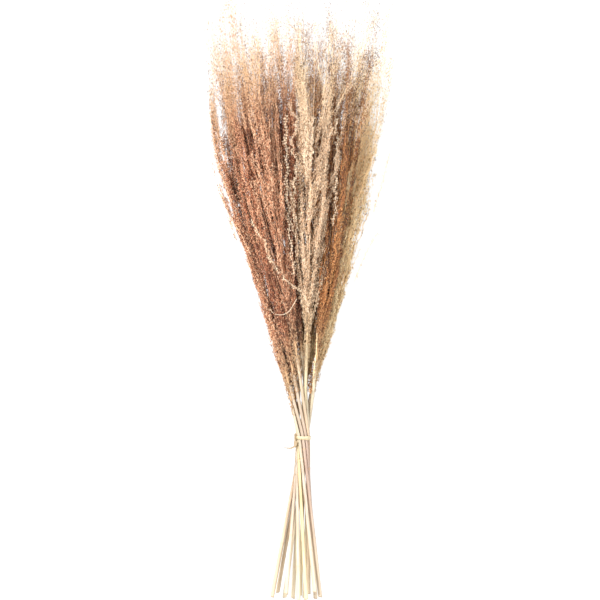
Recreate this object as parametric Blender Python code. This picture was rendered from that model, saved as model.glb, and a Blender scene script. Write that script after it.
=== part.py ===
"""A bundle of dried miscanthus, tied once with raffia and lying on a table.

Run with: blender --background --python part.py
Metres, +Z up. The bundle lies along Y with its plumes towards +Y, on the plane z = 0.
"""

import math

import bpy
import numpy as np

# The stalks, all in metres.
STEM_RADIUS = 0.0021
STEM_TIP_SHARE = 0.85  # a culm is this much thinner at its plume than at its foot
STEM_PITCH = 0.0046  # between the axes of neighbours where they are tied
PLUME_BASE_RADIUS = 0.0026
PLUME_TIP_SHARE = 0.16  # of the plume's full radius
JOINT_GAP = 0.0003  # between a culm's end and its plume

# The fan, measured from the tie: y along the bundle, x to the side, z above the table.
FOOT_Y = -0.2100
TIP_Y = 0.5600
WIDEST_Y = 0.4260
SECTION_STEP = 0.0100
TIE_HEIGHT = 0.0330
FAN_CENTRE = (-0.008, 0.050)
FAN_HALF = (0.095, 0.033)

# How the stalks press on each other.
STEM_CLEARANCE = 0.0006
PLUME_CLEARANCE = 0.0016
PRESS_ROUNDS = 1200
STIFFNESS = 0.24
RETURN_SHARE = 0.004
TUBE_STEP = 0.0400  # between the points of a stalk's tube, far from the tie
TIED_STEP = 0.0100  # and near it, where the culms cross closely
TIED_REACH = 0.0450

# The raffia.
STRAND_RADIUS = 0.00075
STRAND_GAP = 0.0004
TIE_TURNS = 3
TIE_STEPS = 14  # points to a turn

# One row for each stalk: where its plume's axis passes the widest section (x and height z), how far the
# tip leans on from there, the plume's radius, where it starts and ends, and the cut foot (x, z and y).
STALKS = (
    # x, z, lean, radius, plume from, plume to, foot x, foot z, foot y
    (-0.101, 0.042, -0.006, 0.0150, 0.069, 0.491, 0.022, 0.030, -0.205),
    (-0.079, 0.070, -0.004, 0.0160, 0.082, 0.515, 0.016, 0.017, -0.208),
    (-0.054, 0.082, -0.003, 0.0170, 0.105, 0.530, 0.007, 0.010, -0.203),
    (-0.027, 0.084, -0.001, 0.0160, 0.112, 0.542, 0.002, 0.003, -0.209),
    (0.011, 0.080, 0.003, 0.0235, 0.121, 0.530, -0.004, 0.003, -0.206),
    (0.057, 0.076, 0.002, 0.0170, 0.098, 0.528, -0.024, 0.004, -0.208),
    (0.077, 0.050, 0.005, 0.0170, 0.080, 0.508, -0.033, 0.012, -0.201),
    (0.088, 0.024, 0.010, 0.0140, 0.062, 0.492, -0.040, 0.025, -0.205),
    (-0.076, 0.018, -0.024, 0.0170, 0.040, 0.556, 0.015, 0.040, -0.198),
    (-0.040, 0.018, 0.002, 0.0180, 0.045, 0.522, 0.004, 0.044, -0.207),
    (-0.003, 0.018, 0.004, 0.0180, 0.085, 0.545, -0.006, 0.045, -0.209),
    (0.040, 0.018, 0.060, 0.0180, 0.055, 0.556, -0.022, 0.040, -0.200),
    (0.027, 0.047, 0.010, 0.0170, 0.115, 0.535, -0.013, 0.022, -0.207),
)

STEM_COLOUR = (0.78, 0.66, 0.46)
RAFFIA_COLOUR = (0.84, 0.74, 0.52)
LEFT_PLUME_COLOUR = (0.52, 0.29, 0.19)
MIDDLE_PLUME_COLOUR = (0.66, 0.50, 0.34)
RIGHT_PLUME_COLOUR = (0.60, 0.37, 0.19)


def clear_scene():
    for obj in list(bpy.data.objects):
        bpy.data.objects.remove(obj, do_unlink=True)


def new_material(name, colour, roughness):
    material = bpy.data.materials.new(name)
    material.use_nodes = True
    shader = material.node_tree.nodes["Principled BSDF"]
    shader.inputs["Base Color"].default_value = (*colour, 1.0)
    shader.inputs["Roughness"].default_value = roughness
    shader.inputs["Metallic"].default_value = 0.0
    return material


def sections():
    """The stations along the bundle at which the stalks' places are worked out. One of them is the tie's."""
    below = round(-FOOT_Y / SECTION_STEP)
    above = math.ceil(TIP_Y / SECTION_STEP)
    return np.arange(-below, above + 1) * SECTION_STEP


def plume_radius(stalk, y):
    """A plume swells from its base to about three quarters of its height, then closes to its tip."""
    full, start, end = stalk[3:6]
    t = min(max((y - start) / (end - start), 0.0), 1.0)
    girth = t**0.62 * math.sqrt(1 - t**6) / 0.755
    least = PLUME_TIP_SHARE * full if t > 0.5 else PLUME_BASE_RADIUS
    return max(girth * full, least)


def stem_radius(stalk, y):
    start, foot = stalk[4], stalk[8]
    t = (y - foot) / (start - foot)
    return STEM_RADIUS * (1 - t * (1 - STEM_TIP_SHARE))


def stalk_radius(stalk, y):
    return plume_radius(stalk, y) if y > stalk[4] else stem_radius(stalk, y)


def tied_places():
    """Where each culm passes the tie, as (x, z) pairs: ten round the outside and three in the middle. The
    stalks cross there in a spiral, so a culm's place is a quarter turn from its plume's place in the fan."""
    fan = (np.array([stalk[:2] for stalk in STALKS]) - FAN_CENTRE) / FAN_HALF
    by_reach = np.argsort(np.hypot(*fan.T))
    angle = np.arctan2(-fan[:, 0], fan[:, 1])
    places = np.zeros((len(STALKS), 2))
    for members in (by_reach[:3], by_reach[3:]):
        count = len(members)
        ring = STEM_PITCH / (2 * math.sin(math.pi / count))
        members = members[np.argsort(angle[members])]
        turn = np.arange(count) * 2 * math.pi / count
        start = np.angle(np.exp(1j * (angle[members] - turn)).sum())
        places[members, 0] = ring * np.cos(start + turn)
        places[members, 1] = ring * np.sin(start + turn) + TIE_HEIGHT
    return places


def straight_places(ys):
    """The stalks' places at every section before they press on each other: [section, stalk, (x, z)]."""
    tied = tied_places()
    places = np.empty((len(ys), len(STALKS), 2))
    for row, y in enumerate(ys):
        for i, stalk in enumerate(STALKS):
            x, z, lean, _, _, _, foot_x, foot_z, foot_y = stalk
            if y > 0:
                u = y / WIDEST_Y
                spread = u + 0.12 * math.sin(math.pi * u) * u * u if u < 1 else 1.0
                past = max(u - 1, 0.0) * 3.0
                target = np.array((x, z))
                places[row, i] = tied[i] * (1 - spread) + target * spread
                places[row, i, 0] += lean * past
            else:
                u = y / foot_y
                places[row, i] = tied[i] * (1 - u) + np.array((foot_x, foot_z)) * u
    return places


def pressed_places(ys):
    """The same places once the stalks have pushed each other aside and lie on the table. Every round moves
    overlapping neighbours apart, evens out each stalk's line and draws it back a little to its own place."""
    wanted = straight_places(ys)
    places = wanted.copy()
    radii = np.array([[stalk_radius(stalk, y) for stalk in STALKS] for y in ys])
    in_plume = np.array([[y > stalk[4] - TUBE_STEP for stalk in STALKS] for y in ys])
    clearance = np.where(in_plume, PLUME_CLEARANCE, STEM_CLEARANCE)
    room = radii[:, :, None] + radii[:, None, :]
    room += np.maximum(clearance[:, :, None], clearance[:, None, :])
    tie = int(np.argmin(abs(ys)))
    itself = np.eye(len(STALKS), dtype=bool)
    for turn in range(PRESS_ROUNDS):
        settling = turn < PRESS_ROUNDS * 0.7
        if settling:
            bend = places[2:] + places[:-2] - 2 * places[1:-1]
            places[1:-1] += STIFFNESS * bend
            places += RETURN_SHARE * (wanted - places)
        apart = places[:, :, None] - places[:, None, :]
        distance = np.maximum(np.linalg.norm(apart, axis=-1), 1e-6)
        overlap = np.where(itself, 0.0, np.maximum(room - distance, 0.0))
        places += 0.42 * (apart / distance[..., None] * overlap[..., None]).sum(axis=2)
        places[:, :, 1] = np.maximum(places[:, :, 1], radii)
        places[tie] = wanted[tie]
    return places


def add_tube(name, points, radii, depth, material, parts, parent):
    """A closed tube with round ends cut square, as a curve object. depth is the radius where radii is 1."""
    curve = bpy.data.curves.new(name, "CURVE")
    curve.dimensions = "3D"
    curve.bevel_depth = depth
    curve.bevel_resolution = 2
    curve.use_fill_caps = True
    spline = curve.splines.new("POLY")
    spline.points.add(len(points) - 1)
    for point, place, radius in zip(spline.points, points, radii):
        point.co = (*place, 1.0)
        point.radius = radius / depth
    spline.use_smooth = True
    obj = bpy.data.objects.new(name, curve)
    obj.data.materials.append(material)
    obj.parent = parent
    parts.objects.link(obj)
    return obj


def stalk_line(places, ys, stalk_index, start, end):
    """The points of one stalk from y = start to y = end, closer together near the tie."""
    near = np.arange(-TIED_REACH, TIED_REACH + TIED_STEP / 2, TIED_STEP)
    below = np.arange(-TIED_REACH - TUBE_STEP, FOOT_Y, -TUBE_STEP)[::-1]
    above = np.arange(TIED_REACH + TUBE_STEP, TIP_Y, TUBE_STEP)
    stations = np.concatenate([below, near, above])
    apart = TIED_STEP / 2
    inner = stations[(stations > start + apart) & (stations < end - apart)]
    along = np.concatenate([[start], inner, [end]])
    x = np.interp(along, ys, places[:, stalk_index, 0])
    z = np.interp(along, ys, places[:, stalk_index, 1])
    return along, np.stack([x, along, z], axis=1)


def add_stalk(number, stalk, places, ys, materials, parts, parent):
    """A culm, and the plume that starts just past its end."""
    start, end, foot = stalk[4], stalk[5], stalk[8]
    along, points = stalk_line(places, ys, number - 1, foot, start)
    radii = [stem_radius(stalk, y) for y in along]
    add_tube(f"stem_{number:02d}", points, radii, STEM_RADIUS, materials["stem"], parts, parent)
    along, points = stalk_line(places, ys, number - 1, start + JOINT_GAP, end)
    radii = [plume_radius(stalk, y) for y in along]
    side = "left" if stalk[0] < -0.02 else "right" if stalk[0] > 0.035 else "middle"
    add_tube(f"plume_{number:02d}", points, radii, stalk[3], materials[side], parts, parent)


def tie_route():
    """The raffia's points: a tail and its crossing, the turns round the culms, and the other tail."""
    wound = STEM_PITCH / (2 * math.sin(math.pi / 10)) + STEM_RADIUS + STEM_CLEARANCE + STRAND_RADIUS
    pitch = 2 * STRAND_RADIUS + STRAND_GAP
    lift = 2 * STRAND_RADIUS + STRAND_GAP
    knot = math.radians(165)  # the knot sits high on the left side
    first = -pitch * TIE_TURNS / 2

    def at(angle, out, y):
        reach = wound + out
        return (reach * math.cos(angle), y, TIE_HEIGHT + reach * math.sin(angle))

    turns = []
    for step in range(TIE_TURNS * TIE_STEPS + 1):
        turn = step / TIE_STEPS
        turns.append(at(knot - turn * 2 * math.pi, 0.0, first + turn * pitch))
    last = first + TIE_TURNS * pitch
    # The far end comes over the turns, makes the small loop that stands off the side, and ends in a tail.
    over = [
        at(knot - 0.20, 0.6 * lift, last + 0.0012),
        at(knot + 0.06, 1.3 * lift, last + 0.0016),
        at(knot + 0.22, 2.2 * lift, last - 0.0006),
        at(knot + 0.26, 2.3 * lift, last - 0.0030),
        at(knot + 0.20, 2.2 * lift, first - 0.0006),
        at(knot + 0.28, 2.6 * lift, first - 0.0034),
        at(knot + 0.44, 4.4 * lift, first - 0.0052),
        at(knot + 0.50, 6.6 * lift, first - 0.0058),
    ]
    under = [
        at(knot + 0.62, 1.8 * lift, first - 0.0115),
        at(knot + 0.52, 1.0 * lift, first - 0.0085),
        at(knot + 0.36, 0.35 * lift, first - 0.0045),
        at(knot + 0.18, 0.05 * lift, first - 0.0015),
    ]
    return under + turns + over


def rest_on_table(parts, parent):
    """Moves the whole bundle so that its box is centred on the origin and its lowest point is at z = 0."""
    bpy.context.view_layer.update()
    graph = bpy.context.evaluated_depsgraph_get()
    corners = []
    for obj in parts.objects:
        if obj is parent:
            continue
        evaluated = obj.evaluated_get(graph)
        mesh = evaluated.to_mesh()
        corners += [evaluated.matrix_world @ vertex.co for vertex in mesh.vertices]
        evaluated.to_mesh_clear()
    corners = np.array(corners)
    low, high = corners.min(axis=0), corners.max(axis=0)
    middle = (low + high) / 2
    parent.location = (-middle[0], -middle[1], -low[2])


def main():
    clear_scene()
    parts = bpy.data.collections.new("miscanthus_bundle")
    bpy.context.scene.collection.children.link(parts)
    bundle = bpy.data.objects.new("bundle", None)
    parts.objects.link(bundle)
    materials = {
        "stem": new_material("straw", STEM_COLOUR, 0.55),
        "left": new_material("plume_russet", LEFT_PLUME_COLOUR, 0.9),
        "middle": new_material("plume_cream", MIDDLE_PLUME_COLOUR, 0.9),
        "right": new_material("plume_gold", RIGHT_PLUME_COLOUR, 0.9),
        "raffia": new_material("raffia", RAFFIA_COLOUR, 0.6),
    }
    ys = sections()
    places = pressed_places(ys)
    for number, stalk in enumerate(STALKS, 1):
        add_stalk(number, stalk, places, ys, materials, parts, bundle)
    route = tie_route()
    radii = [STRAND_RADIUS] * len(route)
    add_tube("raffia_tie", route, radii, STRAND_RADIUS, materials["raffia"], parts, bundle)
    rest_on_table(parts, bundle)


main()
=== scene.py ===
import math

import bpy
import numpy as np
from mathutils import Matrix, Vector


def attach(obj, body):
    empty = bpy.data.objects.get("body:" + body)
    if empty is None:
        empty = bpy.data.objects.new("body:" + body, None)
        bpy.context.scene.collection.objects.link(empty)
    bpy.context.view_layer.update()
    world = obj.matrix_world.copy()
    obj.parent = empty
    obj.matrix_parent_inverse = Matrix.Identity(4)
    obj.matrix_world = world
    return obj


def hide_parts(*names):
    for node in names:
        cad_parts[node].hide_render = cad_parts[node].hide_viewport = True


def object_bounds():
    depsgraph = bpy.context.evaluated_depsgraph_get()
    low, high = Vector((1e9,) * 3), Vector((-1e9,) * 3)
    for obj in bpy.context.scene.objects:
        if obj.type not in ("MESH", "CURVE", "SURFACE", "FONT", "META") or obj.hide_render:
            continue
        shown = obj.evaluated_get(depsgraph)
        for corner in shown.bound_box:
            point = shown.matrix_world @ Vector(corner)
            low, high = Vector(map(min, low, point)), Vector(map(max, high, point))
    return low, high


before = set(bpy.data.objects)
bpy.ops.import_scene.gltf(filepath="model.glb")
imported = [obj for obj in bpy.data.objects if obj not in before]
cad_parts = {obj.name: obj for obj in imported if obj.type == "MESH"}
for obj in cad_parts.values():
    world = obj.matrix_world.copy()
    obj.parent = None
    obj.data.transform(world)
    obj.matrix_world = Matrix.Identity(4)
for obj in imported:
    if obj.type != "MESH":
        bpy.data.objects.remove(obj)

cad_low, cad_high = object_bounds()
stalk_numbers = [f"{n:02d}" for n in range(1, 14)]

# ---- Culms -------------------------------------------------------------------------------------------
# The cut straws: hard glossy stalks round a soft pith, with a low ring at each joint and a clean cut foot.
# They cross in a spiral, and only the tie holds them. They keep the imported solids' lines and thickness,
# with the rings, the cut and a little unevenness added.
SLICES = 26
END_MARGIN = 0.002  # share of a packed tube's length that is left out at each end, with its caps
TO_CORNERS = 1.07  # from the mean radius of a packed tube's slice, which has eight sides, to its corners


def corners_of(node):
    corners = np.empty(len(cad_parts[node].data.vertices) * 3)
    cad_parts[node].data.vertices.foreach_get("co", corners)
    return corners.reshape(-1, 3)


def slices_of(node):
    """The middle and mean radius of slices across a packed tube that runs along Y, from foot to tip."""
    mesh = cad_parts[node].data
    corners = corners_of(node)
    edges = np.empty(len(mesh.edges) * 2, np.int32)
    mesh.edges.foreach_get("vertices", edges)
    first, second = corners[edges.reshape(-1, 2)].transpose(1, 0, 2)
    low, high = corners[:, 1].min(), corners[:, 1].max()
    margin = (high - low) * END_MARGIN
    middles, reach = [], []
    for level in np.linspace(low + margin, high - margin, SLICES):
        crosses = (first[:, 1] - level) * (second[:, 1] - level) < 0
        a, b = first[crosses], second[crosses]
        cut = a + (b - a) * ((level - a[:, 1]) / (b[:, 1] - a[:, 1]))[:, None]
        cut = np.unique(np.round(cut, 6), axis=0)
        middles.append(cut.mean(axis=0))
        reach.append(np.linalg.norm(cut - middles[-1], axis=1).mean() * TO_CORNERS)
    return np.array(middles), np.array(reach)


LINE_STEPS = 400
EASED_STEPS = 25  # how many steps of a line are averaged into each


def unit(v):
    return v / np.maximum(np.linalg.norm(v, axis=-1, keepdims=True), 1e-12)


class Line:
    """A smooth line through the middles of a tube, read by distance along it."""

    def __init__(self, middles, radii, extra=0.0):
        if extra:
            ahead = unit(middles[-1] - middles[-4])
            middles = np.vstack([middles, middles[-1] + ahead * extra])
            radii = np.append(radii, radii[-1])
        knots = np.append(0.0, np.linalg.norm(np.diff(middles, axis=0), axis=1).cumsum())
        self.length = knots[-1]
        self.distance = np.linspace(0.0, self.length, LINE_STEPS)
        self.radii = np.interp(self.distance, knots, radii)
        rough = np.stack([np.interp(self.distance, knots, middles[:, k]) for k in range(3)], axis=1)
        ease = np.hanning(EASED_STEPS) / np.hanning(EASED_STEPS).sum()
        past = (EASED_STEPS // 2, EASED_STEPS // 2)
        rough = np.pad(rough, (past, (0, 0)), mode="reflect", reflect_type="odd")
        self.points = np.stack([np.convolve(rough[:, k], ease, mode="valid") for k in range(3)], axis=1)

    def at(self, s):
        return np.stack([np.interp(s, self.distance, self.points[:, k]) for k in range(3)], axis=-1)

    def radius(self, s):
        return np.interp(s, self.distance, self.radii)

    def axes(self, s):
        """The line's own direction at s, and two directions across it: sideways and up."""
        ahead = unit(self.at(s + 0.002) - self.at(s - 0.002))
        side = unit(np.cross(ahead, (0.0, 0.0, 1.0)))
        return ahead, side, np.cross(side, ahead)

    def across_y(self, y):
        """The line's place and radius where it crosses this Y."""
        s = np.interp(y, self.points[:, 1], self.distance)
        return self.at(s), self.radius(s)


def tubes(paths, radii, corners, facing=None, flatness=1.0):
    """Closed tubes along many paths at once, [path, point, xyz], as (vertices, quads, end faces). A vertex
    is numbered path by path, then point by point, then round the ring. A flat tube's thin way is facing."""
    count, points = paths.shape[:2]
    ahead = unit(np.gradient(paths, axis=1))
    side = unit(np.cross(ahead, (0.0, 0.0, 1.0) if facing is None else facing) + (1e-9, 0.0, 0.0))
    up = np.cross(side, ahead) * flatness
    turn = np.arange(corners) * 2 * math.pi / corners
    out = side[:, :, None] * np.cos(turn)[:, None] + up[:, :, None] * np.sin(turn)[:, None]
    vertices = paths[:, :, None] + out * radii[:, :, None, None]
    number = np.arange(count * points * corners).reshape(count, points, corners)
    after = np.roll(number, -1, axis=2)
    quads = np.stack([number[:, :-1], after[:, :-1], after[:, 1:], number[:, 1:]], axis=-1)
    ends = np.concatenate([number[:, 0, ::-1], number[:, -1]])
    return vertices.reshape(-1, 3), quads.reshape(-1, 4), ends


def piece_of(name, vertices, groups, spread, finish, node, slot):
    """A piece from arrays: groups holds faces of one size each, and spread each vertex's place on the map
    that its finish is drawn on."""
    corners = np.concatenate([group.ravel() for group in groups])
    sizes = np.concatenate([np.full(len(group), group.shape[1]) for group in groups])
    mesh = bpy.data.meshes.new(name)
    mesh.vertices.add(len(vertices))
    mesh.vertices.foreach_set("co", vertices.astype(np.float32).ravel())
    mesh.loops.add(len(corners))
    mesh.loops.foreach_set("vertex_index", corners.astype(np.int32))
    mesh.polygons.add(len(sizes))
    mesh.polygons.foreach_set("loop_start", (np.cumsum(sizes) - sizes).astype(np.int32))
    mesh.update(calc_edges=True)
    layer = mesh.uv_layers.new(name="OFBake")
    layer.uv.foreach_set("vector", spread[corners].astype(np.float32).ravel())
    if slot in ("straw", "raffia"):
        mesh.shade_smooth()
    mesh.materials.append(finish.material)
    piece = bpy.data.objects.new(name, mesh)
    bpy.context.scene.collection.objects.link(piece)
    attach(piece, "root")
    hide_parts(node)


class Reading:
    """An output of a node. Sums on it add Math nodes, so 1 - mask works as it reads."""

    def __init__(self, finish, socket):
        self.finish, self.socket = finish, socket

    def math(self, operation, first, second):
        return self.finish.node("ShaderNodeMath", {"operation": operation}, {0: first, 1: second})

    def __add__(self, other):
        return self.math("ADD", self, other)

    def __radd__(self, other):
        return self.math("ADD", other, self)

    def __sub__(self, other):
        return self.math("SUBTRACT", self, other)

    def __rsub__(self, other):
        return self.math("SUBTRACT", other, self)

    def __mul__(self, other):
        return self.math("MULTIPLY", self, other)

    def __rmul__(self, other):
        return self.math("MULTIPLY", other, self)


class Finish:
    """A material built round its Principled shader, whose plain values come as sockets."""

    def __init__(self, name, sockets):
        self.material = bpy.data.materials.new(name)
        self.material.use_nodes = True
        self.shader = self.material.node_tree.nodes["Principled BSDF"]
        self.put(self.shader, sockets)

    def put(self, node, sockets):
        for key, value in sockets.items():
            if isinstance(value, Reading):
                self.material.node_tree.links.new(value.socket, node.inputs[key])
            else:
                node.inputs[key].default_value = value

    def node(self, kind, settings, sockets, output=0):
        """Any node: its settings are set first, then its sockets. A ramp's stops are (place, colour)."""
        made = self.material.node_tree.nodes.new(kind)
        for key, value in settings.items():
            if key == "stops":
                stops = made.color_ramp.elements
                while len(stops) < len(value):
                    stops.new(1.0)
                for stop, (place, tint) in zip(stops, value):
                    stop.position = place
                    stop.color = tint
            else:
                setattr(made, key, value)
        self.put(made, sockets)
        return Reading(self, made.outputs[output])

    def map_place(self, axis):
        """How far along (X) or across (Y) the piece's map a point is."""
        place = self.node("ShaderNodeUVMap", {"uv_map": "OFBake"}, {})
        return self.node("ShaderNodeSeparateXYZ", {}, {0: place}, axis)

    def smooth(self, value, low, high):
        """0 below low and 1 above high, eased in between."""
        settings = {"interpolation_type": "SMOOTHSTEP"}
        return self.node("ShaderNodeMapRange", settings, {0: value, 1: low, 2: high})

    def mix(self, share, first, second):
        settings = {"data_type": "RGBA"}
        return self.node("ShaderNodeMix", settings, {0: share, 6: first, 7: second}, 2)


def colour(red, green, blue):
    """A colour given in screen values, 0 to 255 each, as the shader's linear light."""
    levels = [c / 255 for c in (red, green, blue)]
    return [c / 12.92 if c <= 0.04045 else ((c + 0.055) / 1.055) ** 2.4 for c in levels] + [1.0]


CULM_CORNERS = 16
CULM_STEP = 0.0016
UNEVENNESS = 0.02  # of its radius
UNEVEN_PACE = 90.0  # radians to a metre
JOINT_SPACING = 0.115
FIRST_JOINT = (0.35, 0.8)  # how far up the first joint is, as a share of the spacing
LAST_JOINT = 0.014  # below the plume
TOP_LENGTH = 0.05  # the culm's last stretch, which has only that joint
JOINT_RISE = 0.00022
JOINT_HALF_WIDTH = 0.0011
NECK_PLACE = 0.0032  # the shallow dip above each ring
NECK_HALF_WIDTH = 0.0016
NECK_SHARE = 0.4  # its depth beside the ring's height
RIND = 0.0005  # the hard wall round the pith
PITH_DEPTH = 0.0005
CUT_SLANT = 0.35  # the cut foot's slope, at most
FOOT_SWELL = 0.17  # how much thicker a culm is at its foot than at the tie
SWELL_LENGTH = 0.16

# The pale colour of each kind of straw, and the darker one of its random patches.
STRAWS = {
    "ivory": (colour(208, 196, 170), colour(172, 154, 128)),
    "yellow": (colour(212, 196, 154), colour(176, 154, 112)),
    "peach": (colour(198, 172, 144), colour(160, 130, 104)),
    "pink": (colour(182, 158, 142), colour(142, 116, 100)),
    "cream": (colour(200, 184, 166), colour(164, 144, 124)),
}
STRAW_OF = {
    "01": "pink",
    "02": "pink",
    "03": "peach",
    "04": "ivory",
    "05": "yellow",
    "06": "ivory",
    "07": "peach",
    "08": "peach",
    "09": "cream",
    "10": "yellow",
    "11": "cream",
    "12": "cream",
    "13": "ivory",
}
JOINT_BROWN = colour(186, 140, 88)
# Painted shade along the culm: pale towards its foot, darker at its top under the plumes.
FOOT_PAINTED_PALE = colour(220, 206, 176)
TOP_PAINTED_SHADE = colour(182, 170, 146)
CUT_BROWN = colour(176, 136, 92)
SIDE_SHADE_BROWN = colour(142, 110, 72)


def straw_finish(number, pale, patch_colour, joints):
    """Glossy straw: fine fibres and darker patches, and a brown line at each joint, with painted shade:
    paler towards the foot, darker over the top stretch and brown down both sides. The map's X runs along
    the culm and Y round it."""
    finish = Finish(f"straw_{number}", {"Roughness": 0.45, "IOR": 1.45})
    along, around = finish.map_place("X"), finish.map_place("Y")
    place = finish.node("ShaderNodeCombineXYZ", {}, {0: along * 7.0, 1: around * 16.0})
    fibres = finish.node("ShaderNodeTexNoise", {}, {"Vector": place, "Scale": 1.0, "Detail": 3.0})
    place = finish.node("ShaderNodeCombineXYZ", {}, {0: along * 8.0, 1: around * 2.0, 2: int(number) * 3.0})
    patches = finish.node("ShaderNodeTexNoise", {}, {"Vector": place, "Scale": 1.0, "Detail": 2.0})
    shade = finish.smooth(fibres * 0.45 + patches * 0.55, 0.36, 0.62)
    base = finish.mix(shade, pale, patch_colour)
    band = 0.0
    for joint in joints:
        off = finish.node("ShaderNodeMath", {"operation": "ABSOLUTE"}, {0: along - joint})
        band = (1 - finish.smooth(off, 0.001, 0.006)) + band
    base = finish.mix(band * 0.4, base, JOINT_BROWN)
    # Painted shade: the culm is paler towards its foot and darker over its top stretch, under the plumes.
    base = finish.mix((1 - finish.smooth(along, 0.05, 0.60)) * 0.5, base, FOOT_PAINTED_PALE)
    base = finish.mix(finish.smooth(along, 0.62, 0.85) * 0.5, base, TOP_PAINTED_SHADE)
    base = finish.mix((1 - finish.smooth(along, 0.0, 0.02)) * 0.5, base, CUT_BROWN)
    # Painted shade: both sides of the culm, as seen from above, are darkened brown where the culms shade
    # each other.
    aside = finish.node("ShaderNodeMath", {"operation": "ABSOLUTE"}, {0: around - 0.5})
    side_shade = finish.smooth(aside, 0.30, 0.47) * finish.smooth(along, 0.10, 0.45) * 0.55
    base = finish.mix(side_shade, base, SIDE_SHADE_BROWN)
    finish.put(finish.shader, {"Base Color": base})
    relief = finish.node("ShaderNodeBump", {}, {"Strength": 0.35, "Distance": 0.0002, "Height": fibres})
    finish.put(finish.shader, {"Normal": relief})
    return finish


def build_culm(number, line):
    chance = np.random.default_rng(400 + int(number))
    steps = int(line.length / CULM_STEP)
    s = np.linspace(0.0, line.length, steps)
    first = chance.uniform(*FIRST_JOINT) * JOINT_SPACING
    joints = np.append(np.arange(first, line.length - TOP_LENGTH, JOINT_SPACING), line.length - LAST_JOINT)
    swell = FOOT_SWELL * np.clip(1 - s / SWELL_LENGTH, 0, 1)
    radii = line.radius(s) * (1 + swell + UNEVENNESS * np.sin(s * UNEVEN_PACE + chance.uniform(0, 6)))
    for joint in joints:
        radii += JOINT_RISE * np.exp(-(((s - joint) / JOINT_HALF_WIDTH) ** 2))
        neck = (s - joint - NECK_PLACE) / NECK_HALF_WIDTH
        radii -= NECK_SHARE * JOINT_RISE * np.exp(-(neck**2))
    path = line.at(s)
    path[:, 2] = np.maximum(path[:, 2], radii + JOINT_RISE)
    vertices, quads, ends = tubes(path[None], radii[None], CULM_CORNERS)
    ring = vertices.reshape(steps, CULM_CORNERS, 3)
    # The foot is cut on a slant, and its pith sits a little inside the rind.
    slant = chance.uniform(-CUT_SLANT, CUT_SLANT, 2)
    middle = ring[0].mean(axis=0)
    ring[0, :, 1] += (ring[0] - middle)[:, 0] * slant[0] + (ring[0] - middle)[:, 2] * slant[1]
    rim = middle + (ring[0] - middle) * (1 - RIND / radii[0])
    sunk = rim + (0.0, PITH_DEPTH, 0.0)
    top = len(vertices)
    vertices = np.vstack([ring.reshape(-1, 3), rim, sunk, sunk.mean(axis=0)[None]])
    a = np.arange(CULM_CORNERS)
    b = np.roll(a, -1)
    floor = top + CULM_CORNERS
    centre = np.full_like(a, floor + CULM_CORNERS)
    lip = np.stack([b, a, top + a, top + b], axis=1)
    wall = np.stack([top + b, top + a, floor + a, floor + b], axis=1)
    pith = np.stack([floor + b, floor + a, centre], axis=1)
    # The cut lies on one small patch at the foot's end of the map.
    turn = np.abs(a * 2 / CULM_CORNERS - 1)
    spread = np.zeros((len(vertices), 2))
    spread[:top, 0] = np.repeat(0.01 + 0.98 * s / line.length, CULM_CORNERS)
    spread[:top, 1] = np.tile(0.02 + 0.96 * turn, steps)
    spread[top:, 0] = 0.002
    spread[top:, 1] = np.append(np.tile(0.4 + 0.2 * turn, 2), 0.5)
    finish = straw_finish(number, *STRAWS[STRAW_OF[number]], joints / line.length)
    groups = [np.concatenate([quads, lip, wall]), ends[-1:], pith]
    piece_of(f"culm_{number}", vertices, groups, spread, finish, f"stem_{number}", "straw")


culms = {number: Line(*slices_of(f"stem_{number}")) for number in stalk_numbers}
for number, culm in culms.items():
    build_culm(number, culm)

tie_y = np.median(corners_of("raffia_tie")[:, 1])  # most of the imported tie's corners are on its turns
waist = np.array([culm.across_y(tie_y)[0] for culm in culms.values()])
waist_radii = np.array([culm.across_y(tie_y)[1] for culm in culms.values()])

# ---- Plumes ------------------------------------------------------------------------------------------
# The flower heads, each grown on the end of its culm: a thin axis and long wavy branches that rise steeply
# round it. Short twigs part from the branches, set all along with tiny dry spikelets (the grains here) and
# silky hairs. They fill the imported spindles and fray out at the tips.
BRANCHES = 34
LOW_BRANCHES = 15  # short ones that dress the plume's foot
STRAYS = 8  # branches that stand clear of the rest on the bundle's outside
BRANCH_POINTS = 30
BRANCH_RADIUS = 0.00032
BRANCH_LENGTH = (0.11, 0.25)
BRANCH_START = (0.0, 0.04)  # the lowest places where branches part from the axis
BRANCH_END = 0.30  # none but the low ones end nearer than this, as a share of the plume
LOW_END = (0.03, 0.14)
SHORTEST_BRANCH = 0.02
BRANCH_BEND = 0.022  # how far along a branch has swung out to its own place
STRAY_REACH = (1.1, 1.5)  # how far out the strays stand beside the plume's own width
CROWN = 0.8  # how far up a plume is fullest
GRAIN_ROOM = 0.0018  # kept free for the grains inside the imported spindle
LEAST_WIDTH = 0.0012
GOLDEN_ANGLE = 2.39996  # from one branch round the axis to the next
# The length and height of each wave in a branch, and how late along it the wave grows.
WAVES = ((0.11, 0.0014, 0.4), (0.045, 0.0008, 0.4), (0.024, 0.0018, 4.0))
TWIGS = 560
TWIG_POINTS = 9
TWIG_RADIUS = 0.00020
TWIG_LENGTH = (0.018, 0.052)
TWIG_PARTING = (0.05, 0.22)  # how steeply a twig parts from its branch
TWIG_CURL = 0.0016
TWIG_OUTWARD = 0.015  # off the axis, from where twigs part outwards more than any other way
LOW_TWIGS, STRAY_TWIGS = 2.2, 0.6  # for their length, beside the other branches
GRAINS = 31000
GRAIN_LENGTH = (0.0022, 0.0042)
GRAIN_HALF_WIDTH = (0.00034, 0.00062)
BRANCH_TINT, TWIG_TINT, GRAIN_TINT = 0.21, 0.18, 0.20  # how much their tones differ
GRAIN_REACH = 0.0015  # how far the grains stand off their twig
FOOT_DENSITY = 0.15  # the share of the grains at the plume's foot
FILLING = 0.03  # about how far along they are all there
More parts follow.
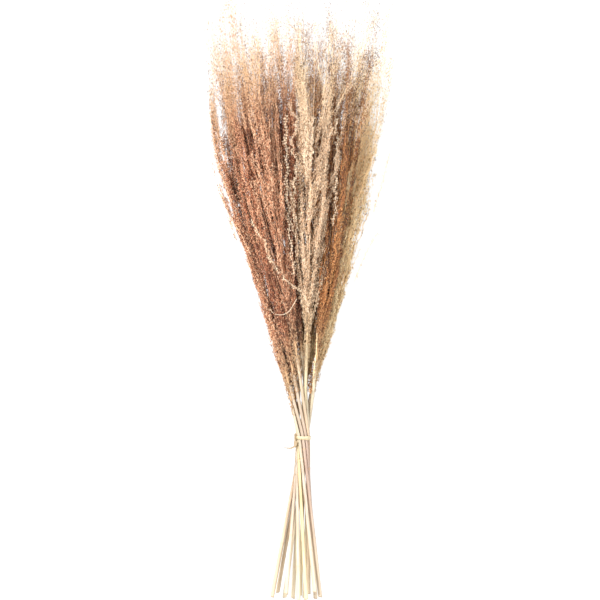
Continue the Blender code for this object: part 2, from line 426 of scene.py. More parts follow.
# Tones run from 0 for the darkest grains to 1 for the palest.
MIDDLE_TONE = 0.64
DARK_TONE, PALE_TONE = 0.10, 0.95
DARK_SHARE, DARKER_TIPS = 0.10, 0.17  # of the grains, and how many more at the tip
PALE_SHARE = 0.06
AXIS_TONE, BRANCH_TONE, TWIG_TONE, HAIR_TONE = 0.55, 0.66, 0.72, 0.90
# Painted shade: grains deep inside a plume are darker, and those past its surface a little paler.
SURFACE = 0.80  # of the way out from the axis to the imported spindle's side
DEPTH_PACE = 0.6
DEPTH_SHADE_TONES = (-0.40, 0.10)  # at the axis, and past the surface
LEAST_CONTRAST = 0.4  # what is left of these in a plume with no streaks
SHADOW = 0.70  # how much darker grains are between two plumes
OPEN = 0.22  # less crowding than this casts no shadow
FOOT_GRAINS = 420
FOOT_BODY = 0.07  # how far up the plume its foot reaches
FOOT_GRAIN_SIZE = 0.7
FOOT_FUZZ = 0.30  # how far down the culm the last grains stand, as a share of its way to the tie
WHOLE_FUZZ = 0.032  # a foot with less room than this has fewer grains, and they stand closer
CULM_FUZZ, AXIS_FUZZ = 0.0030, 0.0036  # how far those grains stand off
AXIS_RADIUS = 0.0011
FOOT_AXIS_RADIUS = 0.0010  # about the mean over the plume's foot
FOOT_TONE, FOOT_TINT = 0.56, 0.22
FOOT_SHADOW = 0.3
HAIR_SHARE = 0.28
HAIR_LENGTH = (0.003, 0.006)
HAIR_HALF_WIDTH = 0.00007
# Where a tip opens out, thins out and grows finer: the start and length of each, as shares of the plume.
OPENING, THINNING, FINING = (0.70, 0.30), (0.62, 0.32), (0.55, 0.35)
TIP_SPREAD = 0.6  # how much wider the branches stand at the tip
TIP_FRAY = 0.030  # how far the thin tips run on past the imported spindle
FRAYED_FROM = 0.72  # only the branches that end past this share of the plume do
TIP_FINENESS = 0.32  # how much smaller the grains are at the tip
TIP_THINNING = 0.70  # the share of the grains that has dropped off at the tip
TIP_CLOUD = 3.0  # how much farther off their twigs the grains stand at the tip
TIP_TANGLE = 2.2  # how much more the twigs part and curl at the tip
OVER_EASE = 0.6  # how much of their way past the bundle's sides the twigs are bent back
LOWEST = -0.02  # twigs below this are bent back too, and the others are only laid on the table
TOP_ROOM = 0.004
FLOOR_CLEARANCE = 0.0004
FLOOR_PLAY = 0.0012  # how unevenly the lowest of it lies on the table
MAP_FOOT, MAP_LENGTH = 0.06, 0.93  # where the plume starts on its map and how much of it that takes
LEAST_MARGIN = (0.0150, 0.0280, 0.0)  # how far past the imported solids' box a hair may run
MOST_MARGIN = (0.0150, 0.0280, 0.0118)


def plume_finish(name, dark, middle, pale, tip):
    """Dry chaff. The map's X runs from the plume's base to its tips and Y from its darkest spikelets to its
    palest, so each spikelet wears the one small patch of it that its own place gives."""
    finish = Finish(f"chaff_{name}", {"Roughness": 0.8, "Sheen Weight": 0.1, "Specular IOR Level": 0.2})
    reach, tone = finish.map_place("X"), finish.map_place("Y")
    stops = [(0.0, dark), (0.48, middle), (1.0, pale)]
    body = finish.node("ShaderNodeValToRGB", {"stops": stops}, {0: tone})
    high = finish.smooth(reach, 0.60, 0.92)
    body = finish.mix(high * finish.smooth(tone, 0.1, 0.5), body, tip)
    low = (1 - finish.smooth(reach, 0.04, 0.22)) * 0.8
    body = finish.mix(low * finish.smooth(tone, 0.1, 0.6), body, colour(206, 180, 138))
    finish.put(finish.shader, {"Base Color": body})
    return finish


CHAFF = {
    "russet": plume_finish(
        "russet", colour(50, 18, 8), colour(186, 108, 70), colour(242, 192, 152), colour(238, 200, 156)
    ),
    "rose": plume_finish(
        "rose", colour(56, 23, 11), colour(200, 128, 88), colour(248, 208, 170), colour(242, 206, 160)
    ),
    "cream": plume_finish(
        "cream", colour(64, 34, 16), colour(224, 180, 138), colour(252, 232, 202), colour(246, 218, 176)
    ),
    "brown": plume_finish(
        "brown", colour(44, 18, 6), colour(182, 112, 60), colour(236, 180, 118), colour(190, 140, 94)
    ),
    "honey": plume_finish(
        "honey", colour(66, 34, 14), colour(236, 182, 122), colour(254, 232, 186), colour(254, 228, 182)
    ),
}

# Each plume's chaff, how much darker it is at its foot and at its tips (its own tone, and painted shade on
# the plumes that lie inside or under the others), how full it is beside its packed solid, how dense its
# grains are towards the tips, how streaky it is, and the record's slot.
DRESS = {
    "01": ("rose", 0.04, 0.16, 1.0, 1.0, 1.1, "plume_russet"),
    "02": ("russet", 0.28, -0.02, 1.0, 1.0, 1.1, "plume_russet"),
    "03": ("rose", 0.38, -0.10, 1.0, 1.0, 1.1, "plume_russet"),
    "04": ("russet", 0.18, -0.06, 1.0, 1.0, 1.1, "plume_russet"),
    "05": ("cream", 0.00, -0.06, 1.42, 0.96, 0.42, "plume_cream"),
    "06": ("brown", 0.04, 0.95, 1.15, 1.4, 1.0, "plume_gold"),
    "07": ("honey", -0.18, -0.64, 1.0, 0.62, 1.0, "plume_gold"),
    "08": ("honey", -0.30, -1.00, 1.15, 0.38, 0.8, "plume_gold"),
    "09": ("rose", -0.10, 0.00, 1.2, 0.9, 1.0, "plume_russet"),
    "10": ("russet", 0.16, -0.02, 1.3, 1.0, 1.0, "plume_russet"),
    "11": ("brown", 0.24, -0.30, 1.3, 1.0, 1.0, "plume_cream"),
    "12": ("honey", -0.10, -0.75, 1.2, 0.46, 1.0, "plume_gold"),
    "13": ("brown", 0.30, -0.15, 1.2, 1.0, 1.0, "plume_cream"),
}


def ramp(share, start, length):
    """0 up to the start, 1 from there past the length, and even in between."""
    return np.clip((share - start) / length, 0, 1)


def across(direction, chance):
    """Random directions square to each of these."""
    aside = chance.normal(size=direction.shape)
    return unit(aside - direction * (aside * direction).sum(axis=-1, keepdims=True))


def crowding(places, own):
    """How far these places lie among the other plumes: 0 in the open and about 1 between two of them."""
    crowd = np.zeros(len(places))
    for other in plumes.values():
        if other is not own:
            middle, radius = other.across_y(places[:, 1])
            crowd += np.exp(-(((places - middle) ** 2).sum(axis=1)) / (radius * 1.1 + 0.002) ** 2)
    return crowd


class Panicle:
    """The branches and twigs of one plume, as distances along its axis and offsets sideways and up."""

    def __init__(self, line, body, fullness, chance):
        self.line, self.body, self.fullness, self.chance = line, body, fullness, chance
        n = BRANCHES + LOW_BRANCHES + STRAYS
        end = body * (BRANCH_END + (1 - BRANCH_END) * chance.uniform(0.0, 1.0, n) ** 0.55)
        end += TIP_FRAY * chance.uniform(0.0, 1.0, n) * (end > body * FRAYED_FROM)
        end[BRANCHES : BRANCHES + LOW_BRANCHES] = chance.uniform(*LOW_END, LOW_BRANCHES)
        start = np.maximum(end - chance.uniform(*BRANCH_LENGTH, n), chance.uniform(*BRANCH_START, n))
        start = np.minimum(start, end - SHORTEST_BRANCH)
        share = np.sqrt(chance.uniform(0.02, 1.0, n)) * chance.uniform(0.9, 1.08, n)
        share[-STRAYS:] = chance.uniform(*STRAY_REACH, STRAYS)
        bearing = np.arange(n) * GOLDEN_ANGLE + chance.normal(0, 0.25, n)
        outward = line.at(body * CROWN) - heart
        bearing[-STRAYS:] = math.atan2(outward[2], outward[0]) + chance.normal(0, 0.7, STRAYS)
        v = np.linspace(0.0, 1.0, BRANCH_POINTS)[None]
        s = start[:, None] + (end - start)[:, None] * v
        width = np.maximum(line.radius(np.minimum(s, body * CROWN)) - GRAIN_ROOM, LEAST_WIDTH)
        width = fullness * width * (1 + TIP_SPREAD * ramp(s / body, *OPENING))
        out = width * share[:, None] * (1 - np.exp(-(s - start[:, None]) / BRANCH_BEND))
        bearing = bearing[:, None] + chance.normal(0, 0.4, n)[:, None] * v
        offsets = [out * np.cos(bearing), out * np.sin(bearing)]
        for k in (0, 1):
            for wave, height, late in WAVES:
                phase = chance.uniform(0, 2 * math.pi, n)[:, None]
                size = chance.uniform(0.2, 1.4, n)[:, None] * height * v**late
                offsets[k] = offsets[k] + size * np.sin(s / wave * 2 * math.pi + phase)
        self.start, self.end, self.s, self.offsets = start, end, s, np.stack(offsets, axis=-1)

    def placed(self, s, offsets):
        """Points in space, with those past the bundle's own sides bent part of the way back."""
        ahead, side, up = self.line.axes(s)
        path = self.line.at(s) + side * offsets[..., :1] + up * offsets[..., 1:]
        lows = (cad_low[0], cad_low[1], LOWEST)
        highs = (cad_high[0], cad_high[1], cad_high[2] - TOP_ROOM)
        for axis, low, high in zip((0, 1, 2), lows, highs):
            path[..., axis] -= OVER_EASE * np.maximum(path[..., axis] - high, 0)
            path[..., axis] -= OVER_EASE * np.minimum(path[..., axis] - low, 0)
        return path

    def twigs(self):
        """Short twigs that part from the branches: [twig, point, xyz], and each point's distance along."""
        chance, n = self.chance, len(self.start)
        length = self.end - self.start
        weight = length * np.where(np.arange(n) < n - STRAYS, 1.0, STRAY_TWIGS)
        weight[BRANCHES : BRANCHES + LOW_BRANCHES] *= LOW_TWIGS
        owner = chance.choice(n, TWIGS, p=weight / weight.sum())
        self.tint = chance.normal(0, BRANCH_TINT, n)[owner]
        size = chance.uniform(*TWIG_LENGTH, TWIGS)
        begin = self.start[owner] + length[owner] * (1 - (1 - chance.uniform(0.0, 1.0, TWIGS)) ** 0.8)
        w = np.linspace(0.0, 1.0, TWIG_POINTS)[None]
        s = begin[:, None] + size[:, None] * w
        step = np.clip((s - self.start[owner, None]) / length[owner, None], 0, 1) * (BRANCH_POINTS - 1)
        low = np.minimum(step.astype(int), BRANCH_POINTS - 2)
        near, far = self.offsets[owner[:, None], low], self.offsets[owner[:, None], low + 1]
        offsets = near + (far - near) * (step - low)[..., None]
        away = unit(offsets[:, 0] / TWIG_OUTWARD + chance.normal(0, 0.8, (TWIGS, 2)))
        tangle = 1 + TIP_TANGLE * ramp(begin / self.body, *OPENING)[:, None]
        parting = chance.uniform(*TWIG_PARTING, TWIGS)[:, None] * size[:, None] * w * (1 - 0.35 * w)
        offsets = offsets + away[:, None] * (parting * tangle)[..., None]
        curl = chance.uniform(0.0, TWIG_CURL, TWIGS)[:, None] * w**2 * tangle
        turn = chance.uniform(0, 2 * math.pi, TWIGS)[:, None] + w * chance.uniform(2, 7, TWIGS)[:, None]
        offsets = offsets + np.stack([curl * np.cos(turn), curl * np.sin(turn)], axis=-1)
        return self.placed(s, offsets), s

    def grains(self, twigs, along, shades, density, streaks):
        """Where each grain's foot is, which way its twig runs there, how far along the plume it is, and its
        tone. They are fewer at the plume's foot and tip, and painted darker inside it and among its
        neighbours, where shade falls."""
        chance, whole = self.chance, self.body + TIP_FRAY
        owner = chance.integers(0, TWIGS, GRAINS)
        w = chance.uniform(0.02, 1.0, GRAINS)
        distance = along[owner, 0] + (along[owner, -1] - along[owner, 0]) * w
        sparse = ramp(distance / whole, *THINNING)
        dense = np.minimum(1 - TIP_THINNING * sparse, FOOT_DENSITY + distance / FILLING)
        dense *= 1 - (1 - density) * np.clip(distance / whole * 1.5, 0, 1)
        kept = chance.uniform(size=GRAINS) < dense
        owner, w, distance, sparse = owner[kept], w[kept], distance[kept], sparse[kept]
        step = w * (TWIG_POINTS - 1)
        low = np.minimum(step.astype(int), TWIG_POINTS - 2)
        between = twigs[owner, low + 1] - twigs[owner, low]
        ahead = unit(between)
        off = GRAIN_REACH * self.fullness * np.sqrt(chance.uniform(0, 1, len(w)))
        off = (off * (1 + TIP_CLOUD * sparse))[:, None]
        places = twigs[owner, low] + between * (step - low)[:, None] + across(ahead, chance) * off
        depth = np.linalg.norm(places - self.line.at(distance), axis=1)
        depth = depth / (self.line.radius(distance) + 0.001)
        twig_tone = MIDDLE_TONE + streaks * (self.tint + chance.normal(0, TWIG_TINT, TWIGS))
        tone = np.clip(twig_tone, 0.1, 0.95)[owner] + chance.normal(0, GRAIN_TINT, len(w))
        contrast = LEAST_CONTRAST + (1 - LEAST_CONTRAST) * streaks
        # Painted shade inside the plume.
        tone += contrast * np.clip(DEPTH_PACE * (depth - SURFACE), *DEPTH_SHADE_TONES)
        tone -= shades[0] + (shades[1] - shades[0]) * np.clip(distance / self.body, 0, 1)
        crowd = np.clip(crowding(places, self.line) - OPEN, 0, 1)
        tone -= contrast * SHADOW * (1 - 0.5 * sparse) * crowd
        luck = chance.uniform(size=len(w))
        tone = np.where(luck < DARK_SHARE + DARKER_TIPS * sparse, DARK_TONE, tone)
        return places, ahead, distance, np.where(luck > 1 - PALE_SHARE, PALE_TONE, tone)


def foot_grains(culm, line, chance):
    """The same for the grains that sit close round the foot of the plume's axis and the top of the culm."""
    farthest = FOOT_FUZZ * (culm.at(culm.length)[1] - tie_y)
    room = min(1.0, farthest / WHOLE_FUZZ)
    down = farthest * chance.uniform(0, 1, int(FOOT_GRAINS * room)) ** 1.8
    up = FOOT_BODY * chance.uniform(0, 1, FOOT_GRAINS) ** 0.8
    found = []
    for stalk, s, fuzz in ((culm, culm.length - down, CULM_FUZZ * room), (line, up, AXIS_FUZZ)):
        n = len(s)
        ahead = stalk.axes(s)[0]
        own = culm.radius(s) if stalk is culm else FOOT_AXIS_RADIUS
        distance = s - culm.length if stalk is culm else s
        fuzz = fuzz * (1 - 0.9 * np.maximum(-distance, 0) / farthest)
        places = stalk.at(s) + across(ahead, chance) * (own + fuzz * chance.uniform(0, 1, n))[:, None]
        tone = chance.normal(FOOT_TONE, FOOT_TINT, n)
        tone -= FOOT_SHADOW * np.clip(crowding(places, line) - 0.3, 0, 1)
        found.append((places, ahead, distance, tone))
    return [np.concatenate(kind) for kind in zip(*found)]


LEAST_HEIGHT = 0.03
EASED_PLACES = 7  # how many places of a loose twig's height are averaged into each
LOOSE_LIFT = 0.0025


def resting(places):
    """These places (x, y) set down on top of the plumes: (x, y, z)."""
    height = np.full(len(places), LEAST_HEIGHT)
    for line in plumes.values():
        middle, radius = line.across_y(places[:, 1])
        inside = radius**2 - (places[:, 0] - middle[:, 0]) ** 2
        top = np.where(inside > -(radius**2), middle[:, 2] + np.sqrt(np.maximum(inside, 0)), 0.0)
        height = np.maximum(height, top)
    ease = np.ones(EASED_PLACES) / EASED_PLACES
    height = np.convolve(np.pad(height, EASED_PLACES // 2, mode="edge"), ease, mode="valid")
    return np.column_stack([places, height + LOOSE_LIFT])


def curve(points, count):
    """A smooth line through a few points."""
    points = np.array(points, float)
    knots = np.append(0.0, np.linalg.norm(np.diff(points, axis=0), axis=1).cumsum())
    slopes = np.gradient(points, knots, axis=0)
    t = np.linspace(0.0, knots[-1], count)
    k = np.clip(np.searchsorted(knots, t, side="right") - 1, 0, len(knots) - 2)
    span = (knots[k + 1] - knots[k])[:, None]
    u = (t - knots[k])[:, None] / span
    return (
        (2 * u**3 - 3 * u**2 + 1) * points[k]
        + (u**3 - 2 * u**2 + u) * span * slopes[k]
        + (3 * u**2 - 2 * u**3) * points[k + 1]
        + (u**3 - u**2) * span * slopes[k + 1]
    )


# Single twigs that have worked loose and lie on top: radius, grains, how far those stand off, and then the
# twig's places across and along from the tie.
LOOSE_POINTS = 60
LOOSE_CURL = 0.0005
LOOSE_PACES = (0.35, 0.9)  # radians from one point of the twig to the next
CURLY_GRAINS = 140  # a twig with more grains than this curls more, and up to MOST_CURL times as much
MOST_CURL = 2.5
LOOSE_REACH = 0.12  # they are coloured as the rest of the plume is at this distance along it
LOOSE_TONE, LOOSE_GRAIN_TONE = 0.93, 0.82
LOOSE = {
    "01": (
        (
            0.00025, 60, 0.0014,
            (-0.116, 0.353), (-0.108, 0.318), (-0.095, 0.287), (-0.080, 0.262),
            (-0.067, 0.236),
        ),
        (0.00025, 50, 0.0020, (-0.119, 0.414), (-0.114, 0.379), (-0.104, 0.338), (-0.091, 0.302)),
        (0.0002, 90, 0.0040, (-0.124, 0.533), (-0.121, 0.499), (-0.114, 0.461), (-0.109, 0.423)),
        (0.0002, 190, 0.0050, (-0.100, 0.556), (-0.103, 0.524), (-0.098, 0.493), (-0.093, 0.455)),
    ),
    "04": (
        (0.0002, 90, 0.0045, (-0.020, 0.538), (-0.015, 0.505), (-0.017, 0.467)),
    ),
    "05": (
        (
            0.00025, 330, 0.0018,
            (-0.064, 0.277), (-0.052, 0.255), (-0.041, 0.231), (-0.029, 0.210),
            (-0.017, 0.199), (-0.006, 0.191), (0.003, 0.178), (0.009, 0.160),
        ),
        (
            0.00035, 14, 0.0006,
            (-0.042, 0.165), (-0.037, 0.160), (-0.025, 0.159), (-0.018, 0.163),
            (-0.013, 0.170), (-0.008, 0.179),
        ),
        (
            0.00018, 420, 0.0022,
            (-0.020, 0.409), (-0.023, 0.385), (-0.019, 0.353), (-0.022, 0.321),
            (-0.017, 0.290), (-0.019, 0.267), (-0.014, 0.239), (-0.011, 0.207),
        ),
        (
            0.00018, 380, 0.0022,
            (-0.017, 0.425), (-0.009, 0.404), (-0.013, 0.372), (-0.008, 0.340),
            (-0.013, 0.309), (-0.008, 0.274),
        ),
        (
            0.00018, 260, 0.0022,
            (0.044, 0.429), (0.042, 0.398), (0.043, 0.366), (0.041, 0.334),
            (0.042, 0.302), (0.037, 0.271),
        ),
        (0.0002, 90, 0.0045, (0.019, 0.533), (0.017, 0.499), (0.020, 0.467)),
    ),
    "07": (
        (0.00055, 20, 0.0020, (0.018, 0.135), (0.017, 0.112), (0.014, 0.086), (0.011, 0.058)),
    ),
    "08": (
        (0.00025, 30, 0.0014, (0.095, 0.262), (0.085, 0.245), (0.075, 0.224), (0.066, 0.201)),
        (0.00025, 40, 0.0016, (0.111, 0.366), (0.102, 0.328), (0.090, 0.290)),
        (0.0002, 110, 0.0045, (0.113, 0.486), (0.109, 0.455), (0.103, 0.423)),
    ),
    "09": (
        (0.0002, 190, 0.0050, (-0.090, 0.554), (-0.089, 0.518), (-0.085, 0.480)),
    ),
    "12": (
        (0.0002, 190, 0.0050, (0.108, 0.549), (0.105, 0.512), (0.098, 0.480), (0.093, 0.442)),
    ),
    "13": (
        (0.0002, 190, 0.0014, (0.011, 0.092), (0.010, 0.075), (0.009, 0.058)),
    ),
}


def loose_twigs(number, panicle, chance):
    """The plume's loose twigs and their grains, in the same forms as the others."""
    twigs, grains = [], []
    for radius, count, stand_off, *route in LOOSE.get(number, ()):
        path = resting(curve(route, LOOSE_POINTS) + (waist[:, 0].mean(), tie_y))
        for k in (0, 2):
            for pace in LOOSE_PACES:
                phase = chance.uniform(0, 2 * math.pi)
                curl = LOOSE_CURL * min(count / CURLY_GRAINS, MOST_CURL)
                path[:, k] += curl * np.sin(np.arange(LOOSE_POINTS) * pace + phase)
        distance = np.full(LOOSE_POINTS, LOOSE_REACH)
        taper = np.linspace(0.6, 1.0, LOOSE_POINTS) * radius
        twigs.append((tubes(path[None], taper[None], 5), np.repeat(distance, 5)))
        at = chance.integers(0, LOOSE_POINTS - 1, count)
        ahead = unit(path[at] - path[at + 1])
        off = stand_off * np.sqrt(chance.uniform(0.05, 1, (count, 1)))
        places = path[at] + across(ahead, chance) * off
        tone = np.clip(chance.normal(LOOSE_GRAIN_TONE, 0.25, count), 0.05, PALE_TONE)
        grains.append((places, ahead, distance[at], tone))
    return twigs, grains


def diamonds(foot, tip, half, chance):
    """Slender closed grains or hairs from foot to tip, each a flat tetrahedron with its four vertices in
    the order foot, tip, left, right."""
    ahead = unit(tip - foot)
    broad = across(ahead, chance)
    third = np.cross(ahead, broad) * half * 0.5
    belly = foot + (tip - foot) * 0.42
    corners = [foot + third, tip + third, belly + broad * half - third, belly - broad * half - third]
    first = np.arange(len(foot))[:, None, None] * 4
    pattern = np.array([(0, 1, 2), (0, 3, 1), (0, 2, 3), (1, 3, 2)])
    return np.stack(corners, axis=1).reshape(-1, 3), (first + pattern).reshape(-1, 3)


def build_plume(number, dress, foot_shade, tip_shade, fullness, density, streaks, slot):
    chance = np.random.default_rng(700 + int(number))
    line, body = plumes[number], bodies[number]
    panicle = Panicle(line, body, fullness, chance)
    s = np.linspace(0.0, body, 60)
    thick = (AXIS_RADIUS * (1 - s / body) ** 1.4 + 0.00015)[None]
    # Each part is its vertices and faces, each vertex's distance along the plume, and its tone.
    parts = [(tubes(line.at(s)[None], thick, 6), np.repeat(s, 6), AXIS_TONE)]
    taper = np.linspace(1.0, 0.25, BRANCH_POINTS)[None] * BRANCH_RADIUS * np.ones((len(panicle.s), 1))
    branches = tubes(panicle.placed(panicle.s, panicle.offsets), taper, 3)
    parts.append((branches, np.repeat(panicle.s.ravel(), 3), BRANCH_TONE))
    twigs, along = panicle.twigs()
    fine = 1 - 0.6 * ramp(along[:, :1] / (body + TIP_FRAY), *FINING)
    taper = np.linspace(1.0, 0.4, TWIG_POINTS)[None] * TWIG_RADIUS * fine
    parts.append((tubes(twigs, taper, 3), np.repeat(along.ravel(), 3), TWIG_TONE))
    loose, loose_grains = loose_twigs(number, panicle, chance)
    parts += [(*twig, LOOSE_TONE) for twig in loose]
    on_twigs = panicle.grains(twigs, along, (foot_shade, tip_shade), density, streaks)
    on_foot = foot_grains(culms[number], line, chance)
    grown = zip(on_twigs, on_foot, *loose_grains)
    places, ahead, distance, tone = [np.concatenate(kind) for kind in grown]
    n = len(places)
    lean = unit(ahead + across(ahead, chance) * 0.45 + chance.normal(0, 0.25, (n, 3)))
    size = 1 - TIP_FINENESS * ramp(distance / (body + TIP_FRAY), *FINING)[:, None]
    size *= np.where(distance < 0, FOOT_GRAIN_SIZE, 1.0)[:, None]
    length = chance.uniform(*GRAIN_LENGTH, n)[:, None] * size
    half = chance.uniform(*GRAIN_HALF_WIDTH, n)[:, None] * size
    patch = np.tile([-0.03, 0.03, 0, 0], n)
    tones = np.clip(np.repeat(tone, 4), 0.05, 0.95) + patch
    aside = np.tile([0, 0, 0.001, -0.001], n)
    grains = diamonds(places, places + lean * length, half, chance)
    parts.append((grains, np.repeat(distance, 4) + aside, tones))
    hairy = chance.uniform(size=n) < HAIR_SHARE
    drift = unit(lean[hairy] + chance.normal(0, 0.6, (hairy.sum(), 3)))
    length = chance.uniform(*HAIR_LENGTH, hairy.sum())[:, None]
    hairs = diamonds(places[hairy], places[hairy] + drift * length, HAIR_HALF_WIDTH, chance)
    ends = 4 * hairy.sum()
    parts.append((hairs, np.repeat(distance[hairy], 4) + aside[:ends], HAIR_TONE + patch[:ends]))

    vertices = np.concatenate([shape[0] for shape, _, _ in parts])
    groups, first = [], 0
    for shape, _, _ in parts:
        groups += [faces + first for faces in shape[1:]]
        first += len(shape[0])
    floor = FLOOR_CLEARANCE + FLOOR_PLAY * chance.uniform(size=len(vertices))
    vertices[:, 2] = np.maximum(vertices[:, 2], floor)
    vertices = np.clip(vertices, np.array(cad_low) - LEAST_MARGIN, np.array(cad_high) + MOST_MARGIN)
    reach = MAP_FOOT + MAP_LENGTH * np.concatenate([own for _, own, _ in parts]) / (body + TIP_FRAY)
    tones = np.concatenate([np.broadcast_to(own, len(shape[0])) for shape, _, own in parts])
    spread = np.clip(np.stack([reach, tones], axis=1), 0.005, 0.995)
    piece_of(f"panicle_{number}", vertices, groups, spread, CHAFF[dress], f"plume_{number}", slot)


plumes, bodies = {}, {}
for number in stalk_numbers:
    middles, radii = slices_of(f"plume_{number}")
    bodies[number] = np.linalg.norm(np.diff(middles, axis=0), axis=1).sum()
    plumes[number] = Line(middles, radii, extra=TIP_FRAY + 0.02)
heart = np.mean([line.at(bodies[number] * CROWN) for number, line in plumes.items()], axis=0)
for number in stalk_numbers:
    build_plume(number, *DRESS[number])

# ---- Raffia tie --------------------------------------------------------------------------------------
# One flat strip of dried raffia: wound twice round the culms where they stand closest, then knotted at the
# left with a small loop, a pointed end and a thin split thread that hangs down.
STRIP_HALF_WIDTH = 0.0016
STRIP_FLATNESS = 0.14
STRIP_CORNERS = 10
TURNS = 2.15
TURN_DRIFT = 0.0017  # along the culms at each turn
LAYER = 0.00036  # outwards at each turn
WRAP_POINTS = 340
COIL_TURNS = 1.7
COIL_POINTS = 60
COIL_SIZE = (0.0012, 0.0030, 0.0010)
TAIL_POINTS = 70

raffia = Finish("raffia", {"Roughness": 0.55})
along, around = raffia.map_place("X"), raffia.map_place("Y")
place = raffia.node("ShaderNodeCombineXYZ", {}, {0: along * 6.0, 1: around * 9.0})
fibres = raffia.node("ShaderNodeTexNoise", {}, {"Vector": place, "Scale": 1.0, "Detail": 3.0})
shade = raffia.smooth(fibres, 0.35, 0.65)
leaf = raffia.mix(shade, colour(216, 208, 178), colour(170, 142, 98))
leaf = raffia.mix(raffia.smooth(along, 0.60, 0.64) * 0.75, leaf, colour(126, 96, 60))  # the knot and tails, darker brown
raffia.put(raffia.shader, {"Base Color": leaf})
relief = raffia.node("ShaderNodeBump", {}, {"Strength": 0.5, "Distance": 0.0003, "Height": fibres})
raffia.put(raffia.shader, {"Normal": relief})

# The loop, the pointed end, the bight and the thread: places from the knot, half width, and whether it ends
# in a point.
TAILS = (
    (
        (
            (0.0002, 0.0, 0.001),
            (-0.0014, 0.0030, 0.002),
            (-0.0008, 0.0056, 0.0012),
            (0.0010, 0.0044, 0.0006),
            (0.0008, 0.001, 0.0),
        ),
        0.0008,
        False,
    ),
    (
        (
            (0.0006, -0.004, 0.0016),
            (-0.0006, -0.0092, 0.002),
            (-0.0046, -0.0122, 0.0008),
            (-0.0156, -0.0124, -0.002),
        ),
        0.0016,
        True,
    ),
    (
        (
            (0.0004, 0.0, 0.0),
            (-0.0014, -0.0040, 0.001),
            (-0.0010, -0.0095, 0.0015),
            (0.0006, -0.0116, 0.001),
            (0.0014, -0.0060, 0.0),
        ),
        0.0010,
        False,
    ),
    (
        (
            (0.0004, -0.008, 0.001),
            (-0.0004, -0.0240, 0.0010),
            (-0.0022, -0.0440, -0.0040),
            (-0.0044, -0.0620, -0.0090),
        ),
        0.0006,
        True,
    ),
)


def build_tie():
    chance = np.random.default_rng(55)
    # The taut outline round the culms, from how far they reach in each direction.
    turn = np.linspace(0, 2 * math.pi, 721)
    facing = np.stack([np.cos(turn), np.sin(turn)], axis=1)
    farthest = (waist[:, [0, 2]] @ facing.T + waist_radii[:, None]).argmax(axis=0)
    outline = waist[farthest][:, [0, 2]] + facing * waist_radii[farthest, None]
    run = np.append(0.0, np.linalg.norm(np.diff(outline, axis=0), axis=1).cumsum())
    left = run[np.argmin(outline[:, 0])]
    t = np.linspace(0.0, TURNS, WRAP_POINTS)
    at = (left + t * run[-1]) % run[-1]
    x, z = (np.interp(at, run, outline[:, k]) for k in (0, 1))
    out_x, out_z = (np.interp(at, run, facing[:, k]) for k in (0, 1))
    out = unit(np.stack([out_x, np.zeros(WRAP_POINTS), out_z], axis=1))
    y = waist[0, 1] + TURN_DRIFT * (t - TURNS / 2) + 0.00025 * np.sin(t * 9.0)
    lift = 0.00030 + LAYER * t
    wrap = np.stack([x, y, z], axis=1) + out * lift[:, None]
    half = STRIP_HALF_WIDTH * (1 + 0.12 * np.sin(t * 13.0) + 0.08 * np.sin(t * 31.0))
    strips = [(wrap, half, out)]
    # The knot: a few tight coils at the wrap's left, then a loop, a pointed end, a bight and a thread.
    leftmost = outline[np.argmin(outline[:, 0])]
    knot = np.array([leftmost[0] - 0.0002, waist[0, 1], leftmost[1] + 0.0030])
    coil = np.linspace(0.0, COIL_TURNS * 2 * math.pi, COIL_POINTS)
    ring = np.stack([np.cos(coil), np.sin(coil), np.sin(coil * 0.5 + 0.6)], axis=1) * COIL_SIZE
    strips.append((knot + ring, np.full(COIL_POINTS, 0.0010), unit(ring + (0.0, 0.0, 0.0020))))
    for places, half, pointed in TAILS:
        path = knot + curve(places, TAIL_POINTS)
        ease = np.linspace(1.0, 0.12 if pointed else 0.9, TAIL_POINTS) ** 0.6
        ahead = unit(np.gradient(path, axis=0))
        sideways = unit(np.cross(ahead, (0.0, 0.3, 1.0)))
        twist = np.linspace(0.0, chance.uniform(0.3, 0.8), TAIL_POINTS)[:, None]
        upward = np.cross(sideways, ahead)
        strips.append((path, half * ease, unit(upward * np.cos(twist) + sideways * np.sin(twist))))
    # The turns lie on the map's first part, and the knot and tails on its darker brown part.
    parts, spreads = [], []
    crosswise = 0.05 + 0.9 * np.abs(np.arange(STRIP_CORNERS) * 2 / STRIP_CORNERS - 1)
    for k, (path, half, out) in enumerate(strips):
        parts.append(tubes(path[None], half[None], STRIP_CORNERS, out[None], STRIP_FLATNESS))
        lengthwise = np.linspace(*((0.66, 0.99) if k else (0.01, 0.59)), len(path))
        x = np.repeat(lengthwise, STRIP_CORNERS)
        spreads.append(np.stack([x, np.tile(crosswise, len(path))], axis=1))
    vertices = np.concatenate([part[0] for part in parts])
    vertices[:, 2] = np.maximum(vertices[:, 2], FLOOR_CLEARANCE)
    groups, first = [], 0
    for own, sides, ends in parts:
        groups += [sides + first, ends + first]
        first += len(own)
    piece_of("raffia_strip", vertices, groups, np.concatenate(spreads), raffia, "raffia_tie", "raffia")


build_tie()

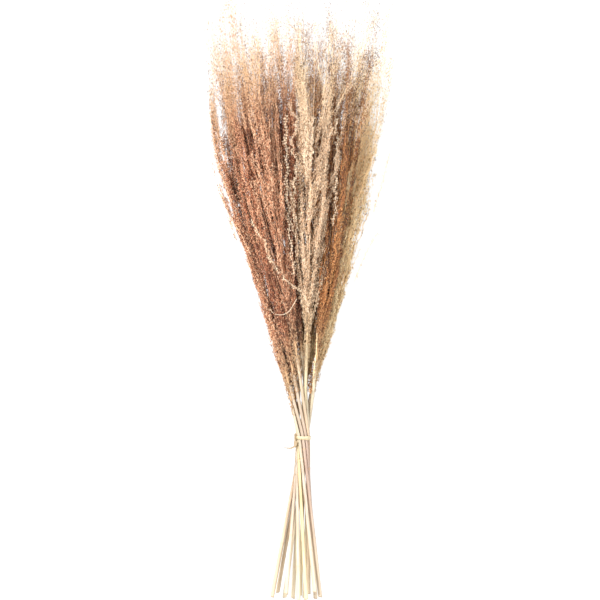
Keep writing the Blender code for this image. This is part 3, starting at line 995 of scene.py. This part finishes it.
# ---- Table, light and camera -------------------------------------------------------------------------
# A white table under broad soft light, and a long lens straight above it. The table gives off most of its
# own white, so that the shadows on it stay faint.
FRAME_WIDTH = 0.771  # what the square frame takes in at the tie's height
TIE_RIGHT, TIE_DOWN = 0.505, 0.73  # where the tie sits in the frame, as shares of it
CAMERA_HEIGHT = 4.0
TABLE_WHITE, TABLE_GLOW = 0.14, 0.88

bpy.ops.mesh.primitive_plane_add(size=12)
table = bpy.context.object
table.name = "table"
table_finish = Finish("table_white", {"Roughness": 0.9})
table_finish.put(table_finish.shader, {"Base Color": (TABLE_WHITE, TABLE_WHITE, TABLE_WHITE, 1.0)})
glow = {"Emission Color": (1.0, 1.0, 1.0, 1.0), "Emission Strength": TABLE_GLOW}
table_finish.put(table_finish.shader, glow)
table.data.materials.append(table_finish.material)

middle = Vector(waist.mean(axis=0))
camera = bpy.data.objects.new("camera", bpy.data.cameras.new("camera"))
bpy.context.scene.collection.objects.link(camera)
camera.location = (
    middle.x + (0.5 - TIE_RIGHT) * FRAME_WIDTH,
    middle.y + (TIE_DOWN - 0.5) * FRAME_WIDTH,
    CAMERA_HEIGHT,
)
camera.data.sensor_width = 36.0
camera.data.lens = camera.data.sensor_width * (CAMERA_HEIGHT - middle.z) / FRAME_WIDTH
camera.data.clip_end = 50.0
bpy.context.scene.camera = camera


def add_light(name, place, aim, size, power):
    light = bpy.data.lights.new(name, "AREA")
    light.shape = "SQUARE"
    light.size = size
    light.energy = power
    lamp = bpy.data.objects.new(name, light)
    bpy.context.scene.collection.objects.link(lamp)
    lamp.location = place
    lamp.rotation_euler = (Vector(aim) - Vector(place)).to_track_quat("-Z", "Y").to_euler()


add_light("key", (-1.3, 0.9, 2.0), (0.0, 0.1, 0.0), 1.0, 120)
add_light("fill", (1.6, -0.6, 1.8), (0.0, 0.1, 0.0), 1.6, 42)
world = bpy.data.worlds.new("studio")
world.use_nodes = True
world.node_tree.nodes["Background"].inputs["Color"].default_value = (1.0, 1.0, 1.0, 1.0)
world.node_tree.nodes["Background"].inputs["Strength"].default_value = 0.8
bpy.context.scene.world = world
bpy.context.scene.view_settings.view_transform = "Standard"
